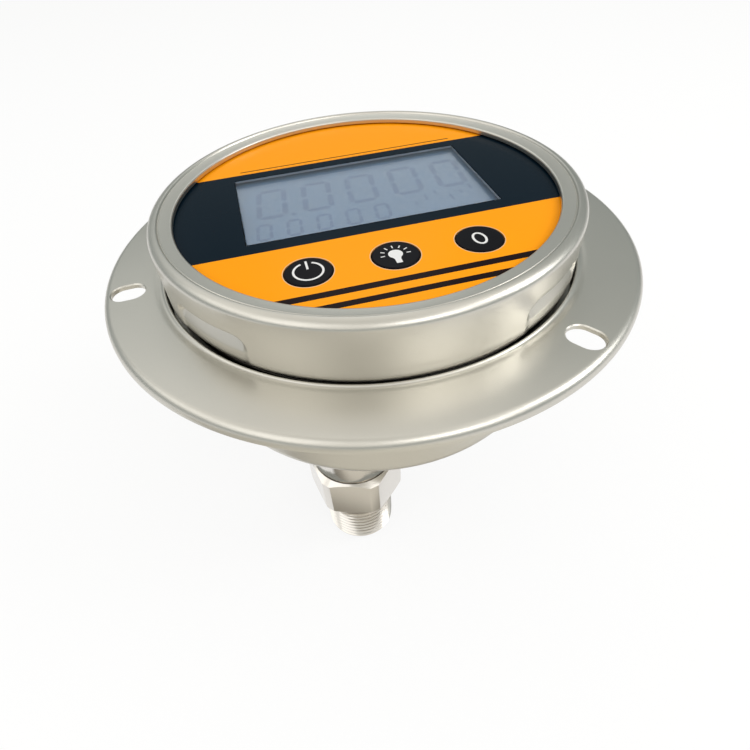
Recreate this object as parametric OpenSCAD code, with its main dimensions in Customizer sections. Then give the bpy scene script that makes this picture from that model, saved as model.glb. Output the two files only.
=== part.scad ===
// Digital pressure gauge for panel mounting, with a 100 mm case and a lower back connection.
// Millimetres. The origin lies on the dial's axis in the plane where the flange meets the panel.
// +Z points out of the dial, and +Y to its twelve o'clock.

/* [Flange] */
// Width of the mounting flange outside its collar
flange_w = 14.3; // [13:0.1:18]
// Thickness of the flange's sheet
flange_sheet = 1.2; // [0.8:0.1:1.4]
// Height of the flange's front face above the panel
flange_face = 2.6; // [2.4:0.1:3.2]
// Outer bend radius of the rolled rim
rim_bend = 2; // [1.6:0.1:2.2]
// Height of the rounded bead round the flange's inner edge
bead_rise = 0.8; // [0.4:0.1:1.2]
// Depth of the flange's collar behind the panel's front
collar_depth = 4.2; // [3.4:0.1:6]
// Distance of the middle of each slot from the flange's outer edge
slot_inset = 6; // [5.5:0.1:7]
// Width of a slot
slot_w = 6; // [5:0.1:6.4]
// Length of a slot, along the radius
slot_l = 8; // [7:0.1:9]
// Angle of the first slot from three o'clock
slot_turn = 63; // [0:1:119]

/* [Case] */
// Room between what the case holds and its wall
case_room = 4.3; // [3.5:0.1:6]
// Thickness of the case's sheet
case_wall = 1; // [0.8:0.1:1.2]
// Depth of the case behind the panel's front
case_depth = 32; // [31:0.5:40]
// Outer radius of the case's back corner
case_corner = 4; // [2:0.5:5]
// Depth of the groove that the bezel's tabs run in
groove_depth = 1.5; // [1.2:0.1:1.7]
// Height of the case's shoulder above the panel's front
shoulder_z = 0.6; // [0:0.1:1]
// Height of the case's rim above the panel's front
rim_z = 11.2; // [11:0.1:13]
// Thickness of the case's rim
rim_t = 1.6; // [1.4:0.1:2]

/* [Bezel] */
// Thickness of the bezel's sheet
bezel_sheet = 1; // [0.8:0.05:1.1]
// Height of the skirt's lower edge above the panel's front
skirt_z = 2.4; // [1.8:0.1:3.4]
// Overlap of the bezel's lip over the dial's edge
lip_over = 1.7; // [1.2:0.1:2.2]
// Width of the land between the dial's opening and the small step on the bezel's face
land_w = 2.5; // [2:0.1:2.8]
// Height of that step
step_h = 0.3; // [0.1:0.05:0.4]
// Fall of the land inside the step, towards the dial
land_fall = 0.4; // [0.2:0.05:0.6]
// Thickness of the bezel's face over the gasket
face_t = 1.3; // [1.1:0.1:1.6]
// Outer radius of the shoulder
shoulder_r = 1.6; // [1:0.1:2]
// Number of tabs pressed into the skirt
tab_count = 4; // [3:1:4]
// Angle of the middle of the first tab from three o'clock
tab_turn = 36; // [0:1:89]
// Arc of a tab, in degrees
tab_arc = 25; // [15:1:26]
// Height of a tab on the skirt's outside
tab_h = 3.8; // [2.6:0.1:4.4]
// Turn from locked to free, in degrees
bezel_travel = 30; // [29:1:40]

/* [Dial] */
// Thickness of the seals under and over the face plate's edge
seal_t = 0.8; // [0.5:0.1:1]
// Thickness of the face plate
plate_t = 1.7; // [1.5:0.1:2.5]
// Thickness of the printed overlay
overlay_t = 0.3; // [0.2:0.05:0.5]
// Width of the display window
window_w = 58; // [50:0.5:59]
// Height of the display window
window_h = 32; // [26:0.5:32.5]
// Height of the window's middle above the dial's middle
window_y = 3.4; // [2.8:0.1:4.5]
// Diameter of a key
key_d = 9.8; // [8:0.1:10.4]
// Distance from one key to the next
key_pitch = 17.9; // [16:0.1:18.5]
// Distance of the keys below the dial's middle
key_drop = 26.8; // [26.4:0.1:28]
// Travel of a key
key_travel = 0.4; // [0.2:0.05:0.5]

/* [Connection] */
// Distance of the pressure connection from the dial's axis
stem_offset = 30; // [26:0.5:30.5]
// Angle of the pressure connection from three o'clock
stem_turn = 243; // [225:1:255]
// Diameter of the neck between the case and the hexagon
neck_d = 23.6; // [22:0.1:24.4]
// Width of the neck's seat round its hole, inside the case
stem_seat_w = 1.3; // [1:0.1:1.8]
// Distance of the hexagon's upper face behind the panel's front
hex_z = 46.6; // [44:0.1:60]
// Size of the hexagon across its flats
hex_flats = 25; // [24:0.5:27]
// Diameter to which the hexagon's corners are turned down
hex_bar_d = 28; // [27.6:0.1:28.8]
// Height of the hexagon
hex_h = 15; // [10:0.1:16]
// Angle of one corner of the hexagon from three o'clock
hex_turn = 222; // [180:1:239]
// Height of the joint that shows between the neck and the hexagon
joint_h = 0.5; // [0.3:0.1:1]
// Outer diameter of the thread
thread_d = 20.956; // [20:0.001:21]
// Pitch of the thread
thread_pitch = 1.814; // [1.5:0.001:2]
// Length of the thread, from the hexagon to the end face
thread_l = 20; // [18:0.5:24]
// Diameter of the spigot that centres the sealing ring
spigot_d = 6; // [5:0.1:6.5]
// Length of that spigot
spigot_l = 3; // [2:0.1:4]
// Diameter of the pressure port
port_d = 3; // [2:0.1:4]

/* [Inside] */
// Diameter of the pressure sensor's cell
sensor_d = 19; // [17:0.1:19.4]
// Height of the pressure sensor's cell
sensor_h = 10.4; // [9:0.1:11]
// Gap between the circuit board and the case
board_gap = 3.2; // [2.4:0.1:5]
// Thickness of the circuit board
board_t = 1.6; // [1:0.1:1.6]
// Diameter of a battery cell
cell_d = 10.5; // [10:0.1:10.5]
// Length of a battery cell with its button
cell_l = 44.5; // [43:0.1:45]

/* [Hidden] */
$fn = 96;
// Overrun of every cut past the face that it opens
over = 0.5;
// Gaps: between turning sheet metal, at a flat seat that moves, and round pieces that are put together
turn_gap = 0.3;
seat_gap = 0.2;
fit_gap = 0.1;
slide_gap = 0.07;

slot_count = 3;
full_turn = 360;

// Display's glass and frame
glass_gap = 0.3;
glass_t = 1;
glass_edge = 3;
glass_ledge = 2.5;
frame_t = 1.4;

// Keys
key_r = key_d / 2;
key_gap = 0.2;
key_flange = 1.1;

// Battery holder
cell_count = 3;
cell_body_gap = 0.15;
bay_wall = 0.9;
holder_wall = 1.2;
tab_t = 0.4;
spring_l = 4.1;
holder_y = 13.5;
bay_w = cell_d + 2 * cell_body_gap;
bay_pitch = bay_w + bay_wall;
bay_l = cell_l + spring_l + tab_t;
holder_l = bay_l + 2 * holder_wall;
holder_w = cell_count * bay_w + (cell_count - 1) * bay_wall + 2 * holder_wall;

// Seat of the connection, inside the case
neck_hole_gap = 0.3;
neck_hole_r = neck_d / 2 + neck_hole_gap;
stem_plate_r = neck_hole_r + stem_seat_w;

// The case goes round whatever reaches furthest from its axis
stem_reach = stem_offset + stem_plate_r;
display_edge = glass_edge + frame_t;
display_reach = norm([window_w / 2 + display_edge, window_y + window_h / 2 + display_edge]);
keys_reach = norm([key_pitch, key_drop]) + key_r + key_flange;
holder_reach = norm([holder_l / 2, holder_y + holder_w / 2]);
case_r = max(stem_reach, display_reach, keys_reach, holder_reach) + case_room + case_wall;
groove_r = case_r - groove_depth;
neck_r = groove_r - case_wall;
skirt_r = case_r + turn_gap;
bezel_r = skirt_r + bezel_sheet;
overlay_r = neck_r - seat_gap;
opening_r = overlay_r - lip_over;
step_r = opening_r + land_w;

// Flange
collar_gap = 0.7;
collar_r = bezel_r + collar_gap;
flange_r = collar_r + flange_w;
slot_orbit = flange_r - slot_inset;
bead_r = 0.9;
rim_bend_in = rim_bend - flange_sheet;

// Case
corner_in = case_corner - case_wall;
rim_round = 0.4;
rim_low = rim_z - rim_t;
notch_arc = tab_arc + 4;
notch_r = groove_r + fit_gap / 2;

// Stack of the dial, from the case's rim to the bezel's face
plate_low = rim_z + seal_t;
plate_z = plate_low + plate_t;
overlay_z = plate_z + overlay_t;
front_seal_t = 1;
bezel_seat = plate_z + front_seal_t + seat_gap;
bezel_z = bezel_seat + face_t;
lip_low = overlay_z + turn_gap;
lip_t = 1;
lip_round = 0.4;

// Bezel's tabs, which hook behind the case's rim
tab_shelf = rim_low - turn_gap;
tab_z = tab_shelf - bezel_sheet;
tab_low = tab_z - tab_h;
tab_press = skirt_r - groove_r - turn_gap;
tab_end_arc = 1.2;

// Face plate
plate_skirt_gap = 0.4;
plate_skirt_t = 2;
plate_skirt_h = 2.6;
plate_r = case_r - turn_gap;
plate_skirt_r = neck_r - plate_skirt_gap;
seal_out_r = plate_r - seat_gap;
seal_in_r = overlay_r + turn_gap;
window_gap = 0.1;
window_edge = 1.5;
window_foot_t = 1;
window_sink = 0.05;
boss_r = 3;
boss_bore_r = 1.25;
boss_bore_depth = 5;
boss_inset = 5;
board_r = neck_r - board_gap;
boss_orbit = board_r - boss_inset;
boss_gap = 0.9;
boss_drop = window_h / 2 - window_y + display_edge + glass_ledge + boss_gap + boss_r;
low_boss_turn = asin(boss_drop / boss_orbit);
boss_turns = [75, 105, full_turn / 2 + low_boss_turn, full_turn - low_boss_turn];

// Keys, their plungers and their switches
key_rise = 0.2;
key_edge_r = 0.3;
key_flange_t = 1.2;
key_rest_gap = 0.1;
key_post_r = 2.2;
key_flange_z = plate_low - key_rest_gap;
switch_w = 6;
switch_h = 3.4;
plunger_r = 1.75;
plunger_rise = 0.9;
plunger_h = 2;
plunger_room = 0.2;

// Circuit board and display
board_z = 5.6;
board_low = board_z - board_t;
board_hole_r = 1.7;
screw_r = 1.2;
screw_l = 5.2;
screw_head_r = 2.8;
screw_head_h = 1.4;
screw_slot_w = 0.8;
screw_slot_h = 0.6;
glass_w = window_w + 2 * glass_edge;
glass_h = window_h + 2 * glass_edge + glass_ledge;
glass_top = plate_low - window_foot_t - glass_gap;
glass_low = glass_top - 2 * glass_t;
glass_y = window_y - glass_ledge / 2;
light_edge = 1.2;
light_foot = 0.4;
light_h = window_h + 2 * light_edge;
light_w = window_w + 2 * light_edge;
zebra_w = 1.8;
frame_low_gap = 0.1;
frame_foot = 1.2;

// Battery cells in their holder
cell_button_r = 1.9;
cell_button_l = 1;
cell_edge_r = 0.6;
holder_base = 1.6;
holder_foot_h = 2.8;
holder_foot_r = 2.4;
holder_hold = 9;
tab_w = 7;
spring_out_r = 3;
spring_in_r = 2.4;
holder_top = board_low - holder_foot_h;
bay_top = holder_top - holder_base;
holder_low = bay_top - holder_hold;
cell_z = bay_top - cell_body_gap - cell_d / 2;
foot_inset_x = 3.5;
foot_inset_y = 2.8;

// Pressure connection, inside the case
stem_x = stem_offset * cos(stem_turn);
stem_y = stem_offset * sin(stem_turn);
back_z = -case_depth;
seat_z = back_z + case_wall + seal_t;
stem_plate_t = 3;
ear_pitch = 36;
ear_r = 6;
cup_wall = 2.8;
cup_r = sensor_d / 2 + cup_wall;
socket_gap = 0.25;
socket_r = sensor_d / 2 + socket_gap;
socket_floor = 3.2;
oring_r = 0.7;
oring_orbit = 7.6;
clamp_h = 3.2;
clamp_wall = 3;
cup_edge = 0.5;
stem_screw_r = 1.95;
stem_screw_gap = 0.25;
stem_screw_bite = 2.5;
stem_screw_head_r = 3.5;
stem_screw_head_h = 2.4;
socket_z = seat_z + stem_plate_t + socket_floor;
sensor_z = socket_z + 2 * oring_r;
clamp_z = sensor_z + sensor_h;
cup_z = clamp_z + clamp_h + cup_edge;

// Pressure connection, outside the case
hex_low = -(hex_z + hex_h);
thread_low = hex_low - thread_l;
hex_corner_r = hex_flats / sqrt(3);
hex_bar_r = hex_bar_d / 2;
hex_face_in = 0.6;
hex_face_r = hex_flats / 2 - hex_face_in;
hex_chamfer_h = (hex_bar_r - hex_face_r) * tan(30);
neck_low = joint_h - hex_z;
joint_in = 0.6;
joint_r = neck_d / 2 - joint_in;
stub_r = 8;
stub_h = 9;
relief_l = 1.8;
relief_cut = 1.3;
lead_in = 1.2;
thread_depth = 1.162;
thread_crest_share = 0.24;
thread_root_share = 0.2;
flank_angle = 27.5;
thread_r = thread_d / 2;
thread_turns = floor((thread_l - relief_l - lead_in) / thread_pitch);

// Sensor's own board and the flat lead to the main board
pin_r = 0.3;
pin_h = 5.4;
pin_orbit = 4;
pin_count = 5;
sensor_board_d = 18;
sensor_board_t = 1;
sensor_board_low = clamp_z + pin_h;
lead_w = 5;
lead_t = 0.3;
lead_bend = 1.5;
lead_start = 2;
lead_run = 3;
lead_end_run = 2.5;
lead_low = sensor_board_low + sensor_board_t;
plug_l = 6;
plug_w = 7;
plug_h = 2;
plug_x = stem_x + lead_run + 2 * lead_bend + lead_end_run;

// Chips on the board's rear side
chip_w = 10;
chip_t = 1.2;
chip_x = 16;
chip_y = -21;
capacitor_r = 2.5;
capacitor_h = 5.4;
capacitor_places = [[29, -15], [34, -7]];

steel = [0.74, 0.73, 0.70];
bright_steel = [0.82, 0.82, 0.81];
rubber_black = [0.10, 0.10, 0.11];
board_green = [0.07, 0.30, 0.16];
pale_plastic = [0.86, 0.86, 0.83];
dark_plastic = [0.14, 0.15, 0.16];
brass = [0.80, 0.66, 0.36];

// Cuts the corner at [x, y] of a flat shape to a radius. The corner points up and right before the turn.
module corner_cut(x, y, r, turn = 0)
    translate([x, y]) rotate(turn) translate([-r, -r])
        difference() {
            square(r + over);
            circle(r);
        }

// A flat rectangle from corner to corner.
module span(x0, y0, x1, y1) translate([x0, y0]) square([x1 - x0, y1 - y0]);

// A block with its middle at [x, y] and its lower face at z.
module block(x, y, z, w, d, h) translate([x - w / 2, y - d / 2, z]) cube([w, d, h]);

// A stretch of a ring that starts at an angle and runs for an arc.
module ring_arc(r_in, r_out, z_low, z_high, start, arc)
    rotate([0, 0, start]) rotate_extrude(angle = arc) span(r_in, z_low, r_out, z_high);

// A flat ring.
module washer(r_in, r_out, z_low, z_high) rotate_extrude() span(r_in, z_low, r_out, z_high);

// A flat slot, round at both ends, along x.
module slot_shape(l, w) {
    square([l - w, w], center = true);
    for (side = [-1, 1]) translate([side * (l - w) / 2, 0]) circle(w / 2);
}

module at_stem() translate([stem_x, stem_y, 0]) children();
module at_key(place) translate([place * key_pitch, -key_drop, 0]) children();
module at_bosses() for (turn = boss_turns) rotate(turn) translate([boss_orbit, 0, 0]) children();
module at_ears() rotate(stem_turn) for (side = [-1, 1]) translate([0, side * ear_pitch / 2, 0]) children();

// Pressed ring with its outer edge rolled back to the panel, a rounded bead inside and a collar on the case.
module flange()
    color(steel) difference() {
        rotate_extrude() {
            difference() {
                span(collar_r, 0, flange_r, flange_face);
                corner_cut(flange_r, flange_face, rim_bend);
                difference() {
                    span(collar_r + flange_sheet, -over, flange_r - flange_sheet, flange_face - flange_sheet);
                    corner_cut(flange_r - flange_sheet, flange_face - flange_sheet, rim_bend_in);
                }
            }
            translate([collar_r + bead_r, flange_face + bead_rise - bead_r]) circle(bead_r);
            span(collar_r, -collar_depth, collar_r + flange_sheet, flange_face);
            difference() {
                span(case_r, -collar_depth, collar_r + flange_sheet, flange_sheet - collar_depth);
                corner_cut(collar_r + flange_sheet, -collar_depth, flange_sheet / 2, -90);
            }
        }
        for (i = [0:slot_count - 1]) rotate(slot_turn + i * full_turn / slot_count)
            translate([slot_orbit, 0, -over])
                linear_extrude(flange_face + 2 * over) slot_shape(slot_l, slot_w);
    }

// Half section of the pressed case's outside, and of the room inside it.
module case_outside() {
    difference() {
        span(0, back_z, case_r, shoulder_z);
        corner_cut(case_r, back_z, case_corner, -90);
        corner_cut(case_r, shoulder_z, case_wall);
    }
    span(0, back_z + case_corner, groove_r, rim_z);
    difference() {
        span(0, rim_low, case_r, rim_z);
        corner_cut(case_r, rim_z, rim_round);
        corner_cut(case_r, rim_low, rim_round, -90);
    }
}

module case_inside() {
    difference() {
        span(-over, back_z + case_wall, case_r - case_wall, shoulder_z - case_wall);
        corner_cut(case_r - case_wall, back_z + case_wall, corner_in, -90);
    }
    span(-over, -case_wall - over, neck_r, rim_z + over);
}

// Deep cup with a groove behind its rim, and notches in the rim that let the bezel's tabs pass.
module case()
    color(steel) difference() {
        rotate_extrude() difference() {
            case_outside();
            intersection() {
                case_inside();
                span(0, back_z, case_r, rim_z + over);
            }
        }
        for (i = [0:tab_count - 1])
            ring_arc(notch_r, case_r + over, rim_low - over, rim_z + over,
                tab_turn + bezel_travel - notch_arc / 2 + i * full_turn / tab_count, notch_arc);
        at_stem() {
            translate([0, 0, back_z - over])
                cylinder(r = neck_hole_r, h = case_wall + 2 * over);
            at_ears() translate([0, 0, back_z - over])
                cylinder(r = stem_screw_r + stem_screw_gap, h = case_wall + 2 * over);
        }
    }

// Half section of the bezel: skirt, rounded shoulder, stepped face and lip over the dial's edge.
module bezel_section()
    difference() {
        union() {
            span(skirt_r, skirt_z, bezel_r, bezel_z);
            span(step_r, bezel_seat, bezel_r, bezel_z);
            polygon([[opening_r, lip_low], [opening_r + lip_t, lip_low], [opening_r + lip_t, bezel_seat],
                [step_r + over, bezel_seat], [step_r + over, bezel_z - step_h],
                [step_r, bezel_z - step_h], [opening_r, bezel_z - step_h - land_fall]]);
        }
        corner_cut(bezel_r, bezel_z, shoulder_r);
        corner_cut(step_r, bezel_z, step_h / 2, 90);
        corner_cut(opening_r, bezel_z - step_h - land_fall, lip_round, 90);
    }

// Turning ring that clamps the dial. Its skirt is pressed inwards at the tabs, which are closed pockets.
module bezel_ring()
    color(steel) {
        difference() {
            rotate_extrude() bezel_section();
            for (i = [0:tab_count - 1])
                ring_arc(bezel_r - tab_press, bezel_r + over, tab_low, tab_z,
                    tab_turn - tab_arc / 2 + i * full_turn / tab_count, tab_arc);
        }
        for (i = [0:tab_count - 1])
            ring_arc(skirt_r - tab_press, skirt_r + over, tab_low - bezel_sheet, tab_shelf,
                tab_turn - tab_arc / 2 - tab_end_arc + i * full_turn / tab_count, tab_arc + 2 * tab_end_arc);
    }

module case_seal()
    color(rubber_black) washer(neck_r, seal_out_r, rim_z, plate_low);

module front_seal()
    color(rubber_black) washer(seal_in_r, seal_out_r, plate_z, plate_z + front_seal_t);

// Moulded carrier for the window, the keys and the board, clamped by its edge between the seals.
module face_plate()
    color(dark_plastic) difference() {
        union() {
            translate([0, 0, plate_low]) cylinder(r = plate_r, h = plate_t);
            washer(plate_skirt_r - plate_skirt_t, plate_skirt_r, plate_low - plate_skirt_h,
                plate_low + over);
            at_bosses() translate([0, 0, board_z]) cylinder(r = boss_r, h = plate_low + over - board_z);
        }
        block(0, window_y, plate_low - over, window_w + 2 * window_gap, window_h + 2 * window_gap,
            plate_t + 2 * over);
        for (place = [-1, 0, 1]) at_key(place) translate([0, 0, plate_low - over])
            cylinder(r = key_r + key_gap, h = plate_t + 2 * over);
        at_bosses() translate([0, 0, board_z - over]) cylinder(r = boss_bore_r, h = boss_bore_depth + over);
    }

// Printed film on the face plate, open at the window and the keys.
module front_overlay()
    color([1.0, 0.60, 0.12]) difference() {
        translate([0, 0, plate_z]) cylinder(r = overlay_r, h = overlay_t);
        block(0, window_y, plate_z - over, window_w + 2 * window_gap, window_h + 2 * window_gap,
            overlay_t + 2 * over);
        for (place = [-1, 0, 1]) at_key(place) translate([0, 0, plate_z - over])
            cylinder(r = key_r + key_gap, h = overlay_t + 2 * over);
    }

// Clear window with a foot that is glued behind the face plate.
module lcd_window()
    color([0.75, 0.82, 0.88, 0.5]) {
        block(0, window_y, plate_low - window_foot_t, window_w + 2 * window_edge,
            window_h + 2 * window_edge, window_foot_t);
        block(0, window_y, plate_low, window_w, window_h, overlay_z - window_sink - plate_low);
    }

// Key cap with a flange that holds it behind the face plate and a post that meets its plunger.
module key(place)
    color(rubber_black) at_key(place) rotate_extrude() {
        difference() {
            span(0, key_flange_z - key_flange_t, key_r, overlay_z + key_rise);
            corner_cut(key_r, overlay_z + key_rise, key_edge_r);
        }
        span(0, key_flange_z - key_flange_t, key_r + key_flange, key_flange_z);
        span(0, board_z + switch_h + plunger_rise, key_post_r, key_flange_z);
    }

module plunger(place)
    color(pale_plastic) at_key(place)
        translate([0, 0, board_z + switch_h + plunger_rise - plunger_h]) cylinder(r = plunger_r, h = plunger_h);

// Housing of a push switch, with the well that its plunger slides in.
module switch(place)
    color(dark_plastic) at_key(place) difference() {
        block(0, 0, board_z, switch_w, switch_w, switch_h);
        translate([0, 0, board_z + switch_h + plunger_rise - plunger_h - key_travel - plunger_room])
            cylinder(r = plunger_r + slide_gap, h = switch_h);
    }

module power_key() key(-1);
module light_key() key(0);
module zero_key() key(1);
module power_plunger() plunger(-1);
module light_plunger() plunger(0);
module zero_plunger() plunger(1);
module power_switch() switch(-1);
module light_switch() switch(0);
module zero_switch() switch(1);

// Places of the two screws that hold the battery holder, seen from the front.
module at_holder_screws()
    for (side = [-1, 1])
        translate([side * (holder_l / 2 - foot_inset_x), holder_y + holder_w / 2 - foot_inset_y, 0]) children();

module main_board()
    color(board_green) difference() {
        translate([0, 0, board_low]) cylinder(r = board_r, h = board_t);
        at_bosses() translate([0, 0, board_low - over]) cylinder(r = board_hole_r, h = board_t + 2 * over);
        at_holder_screws() translate([0, 0, board_low - over])
            cylinder(r = board_hole_r, h = board_t + 2 * over);
    }

// Slotted screw whose head rests at z = 0 and whose shank points up.
module screw(r, l, head_r, head_h)
    difference() {
        rotate_extrude() {
            span(0, 0, r, l);
            span(0, -head_h, head_r, 0);
        }
        block(0, 0, -head_h - over, 2 * head_r + over, screw_slot_w, screw_slot_h + over);
    }

module board_screws()
    color(bright_steel) at_bosses() translate([0, 0, board_low])
        screw(screw_r, screw_l, screw_head_r, screw_head_h);

// Two glass plates. The rear one is taller and carries the display's contacts on its ledge.
module lcd_glass()
    color([0.60, 0.68, 0.74]) {
        block(0, glass_y, glass_low, glass_w, glass_h, glass_t);
        block(0, window_y, glass_low + glass_t, glass_w, glass_h - glass_ledge, glass_t);
    }

module lcd_backlight()
    color([0.93, 0.95, 0.97])
        block(0, window_y, board_z + light_foot, light_w, light_h, glass_low - board_z - light_foot);

// Rubber strip that joins the glass ledge's contacts to the board.
module zebra_strip()
    color([0.75, 0.40, 0.45])
        block(0, glass_y - glass_h / 2 + glass_ledge / 2, board_z, window_w, zebra_w, glass_low - board_z);

// Frame on the board round the glass, with feet under the backlight's corners.
module lcd_frame()
    color(dark_plastic) {
        difference() {
            block(0, glass_y, board_z, glass_w + 2 * frame_t, glass_h + 2 * frame_t, glass_top - board_z);
            block(0, glass_y, board_z - over, glass_w + 2 * frame_low_gap, glass_h + 2 * frame_low_gap,
                glass_top - board_z + 2 * over);
        }
        for (side = [-1, 1])
            block(side * (glass_w / 2 + frame_low_gap - (glass_w - light_w) / 2 + frame_foot / 2), window_y,
                board_z, glass_w - light_w, light_h, light_foot);
    }

module processor_chip()
    color(rubber_black) block(chip_x, chip_y, board_low - chip_t, chip_w, chip_w, chip_t);

module capacitors()
    color([0.20, 0.24, 0.36]) for (place = capacitor_places)
        translate([place[0], place[1], board_low - capacitor_h]) cylinder(r = capacitor_r, h = capacitor_h);

module sensor_plug()
    color(pale_plastic) block(plug_x + plug_l / 2, stem_y, board_low - plug_h, plug_l, plug_w, plug_h);

// Tray that hangs under the board on four feet and is open to the rear, with a bay for each cell.
module battery_holder()
    color(dark_plastic) difference() {
        union() {
            block(0, holder_y, holder_low, holder_l, holder_w, holder_top - holder_low);
            for (side = [-1, 1], end = [-1, 1])
                translate([side * (holder_l / 2 - foot_inset_x),
                    holder_y + end * (holder_w / 2 - foot_inset_y), holder_top])
                        cylinder(r = holder_foot_r, h = holder_foot_h);
        }
        for (i = [0:cell_count - 1])
            block(0, holder_y + (i - (cell_count - 1) / 2) * bay_pitch, holder_low - over, bay_l, bay_w,
                bay_top - holder_low + over);
        at_holder_screws() translate([0, 0, bay_top + fit_gap])
            cylinder(r = boss_bore_r, h = board_low - bay_top);
    }

// Puts its children in a bay, along x from the spring's end. Every second bay is turned round.
module in_bays()
    for (i = [0:cell_count - 1])
        translate([0, holder_y + (i - (cell_count - 1) / 2) * bay_pitch, cell_z]) rotate(i * full_turn / 2)
            translate([-bay_l / 2, 0, 0]) rotate([0, 90, 0]) children();

module battery_cells()
    color([0.12, 0.16, 0.30]) in_bays() translate([0, 0, spring_l]) rotate_extrude() {
        difference() {
            span(0, 0, cell_d / 2, cell_l - cell_button_l);
            corner_cut(cell_d / 2, cell_l - cell_button_l, cell_edge_r);
            corner_cut(cell_d / 2, 0, cell_edge_r, -90);
        }
        span(0, 0, cell_button_r, cell_l);
    }

module battery_springs()
    color(bright_steel) in_bays() washer(spring_in_r, spring_out_r, 0, spring_l);

module battery_tabs()
    color(brass) in_bays() block(0, 0, bay_l - tab_t, tab_w, tab_w, tab_t);

module holder_screws()
    color(bright_steel) at_holder_screws() translate([0, 0, board_z]) mirror([0, 0, 1])
        screw(screw_r, board_t + holder_foot_h, holder_foot_r, screw_head_h);

// Flat outline of the stem's plate: a disc with an ear at each side.
module stem_plate_shape() {
    circle(stem_plate_r);
    rotate(stem_turn) {
        square([2 * ear_r, ear_pitch], center = true);
        for (side = [-1, 1]) translate([0, side * ear_pitch / 2]) circle(ear_r);
    }
}

// One groove between two crests of the thread, with its middle at z.
module thread_groove(z)
    polygon([[thread_r + over, z - thread_pitch * (1 - thread_crest_share) / 2 - over * tan(flank_angle)],
        [thread_r - thread_depth, z - thread_pitch * thread_root_share / 2],
        [thread_r - thread_depth, z + thread_pitch * thread_root_share / 2],
        [thread_r + over, z + thread_pitch * (1 - thread_crest_share) / 2 + over * tan(flank_angle)]]);

// Half section of the threaded end, with a relief under the hexagon, a lead-in and the spigot.
module thread_section()
    difference() {
        union() {
            span(0, thread_low, thread_r, hex_low);
            span(0, thread_low - spigot_l, spigot_d / 2, thread_low);
        }
        span(thread_r - relief_cut, hex_low - relief_l, thread_r + over, hex_low);
        polygon([[thread_r - lead_in, thread_low - over], [thread_r - lead_in, thread_low],
            [thread_r + over, thread_low + lead_in + over], [thread_r + over, thread_low - over]]);
        for (i = [0:thread_turns - 1])
            thread_groove(hex_low - relief_l - (i + thread_crest_share + 1 / 2) * thread_pitch);
    }

// Hexagon with its corners turned down and both faces chamfered, so that the corners end in the usual arcs.
module hexagon()
    intersection() {
        translate([0, 0, hex_low]) rotate(hex_turn) cylinder(r = hex_corner_r, h = hex_h, $fn = 6);
        rotate_extrude() polygon([[0, hex_low], [hex_face_r, hex_low], [hex_bar_r, hex_low + hex_chamfer_h],
            [hex_bar_r, -hex_z - hex_chamfer_h], [hex_face_r, -hex_z], [0, -hex_z]]);
    }

// One turned piece: sensor cup and plate inside the case, then the neck, bored for the connector's stub.
// It goes through the case's hole from inside.
module pressure_stem()
    color(bright_steel) at_stem() difference() {
        union() {
            translate([0, 0, seat_z]) linear_extrude(stem_plate_t) stem_plate_shape();
            rotate_extrude() {
                span(0, seat_z, cup_r, cup_z);
                span(0, neck_low, neck_d / 2, seat_z + over);
            }
        }
        translate([0, 0, socket_z]) cylinder(r = socket_r, h = cup_z - socket_z + over);
        translate([0, 0, neck_low - over]) {
            cylinder(r = stub_r + slide_gap, h = stub_h + fit_gap + over);
            cylinder(d = port_d, h = socket_z - neck_low + 2 * over);
        }
        at_ears() translate([0, 0, seat_z - over])
            cylinder(r = stem_screw_r + fit_gap / 2, h = stem_screw_bite + over);
    }

// One turned piece, screwed up into the neck: stub, joint, hexagon, thread and spigot round the port.
module hex_connector()
    color(bright_steel) at_stem() difference() {
        union() {
            rotate_extrude() {
                span(0, -hex_z - over, joint_r, neck_low);
                span(0, neck_low - over, stub_r, neck_low + stub_h);
                thread_section();
            }
            hexagon();
        }
        translate([0, 0, thread_low - spigot_l - over])
            cylinder(d = port_d, h = neck_low + stub_h - thread_low + spigot_l + 2 * over);
    }

module stem_seal()
    color(rubber_black) at_stem() translate([0, 0, back_z + case_wall]) linear_extrude(seal_t) difference() {
        stem_plate_shape();
        circle(neck_hole_r);
        at_ears() circle(stem_screw_r + stem_screw_gap);
    }

module stem_screws()
    color(bright_steel) at_stem() at_ears() translate([0, 0, back_z])
        screw(stem_screw_r, case_wall + seal_t + stem_screw_bite - fit_gap, stem_screw_head_r,
            stem_screw_head_h);

// Oil-filled cell with a stepped diaphragm face.
module sensor_cell()
    color(bright_steel) at_stem() rotate_extrude() difference() {
        span(0, sensor_z, sensor_d / 2, clamp_z);
        span(-over, sensor_z - over, oring_orbit - 2 * oring_r, sensor_z + over);
    }

module sensor_oring()
    color(rubber_black) at_stem() rotate_extrude()
        translate([oring_orbit, socket_z + oring_r]) circle(oring_r, $fn = 32);

module sensor_clamp_ring()
    color(brass) at_stem() difference() {
        washer(socket_r - fit_gap / 2 - clamp_wall, socket_r - fit_gap / 2, clamp_z, clamp_z + clamp_h);
        block(0, 0, clamp_z + clamp_h / 2, 2 * socket_r, clamp_wall, clamp_h);
    }

module sensor_pins()
    color(brass) at_stem() for (i = [0:pin_count - 1])
        rotate(i * full_turn / pin_count) translate([pin_orbit, 0, clamp_z]) cylinder(r = pin_r, h = pin_h);

module sensor_board()
    color(board_green) at_stem() translate([0, 0, sensor_board_low])
        cylinder(d = sensor_board_d, h = sensor_board_t);

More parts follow.
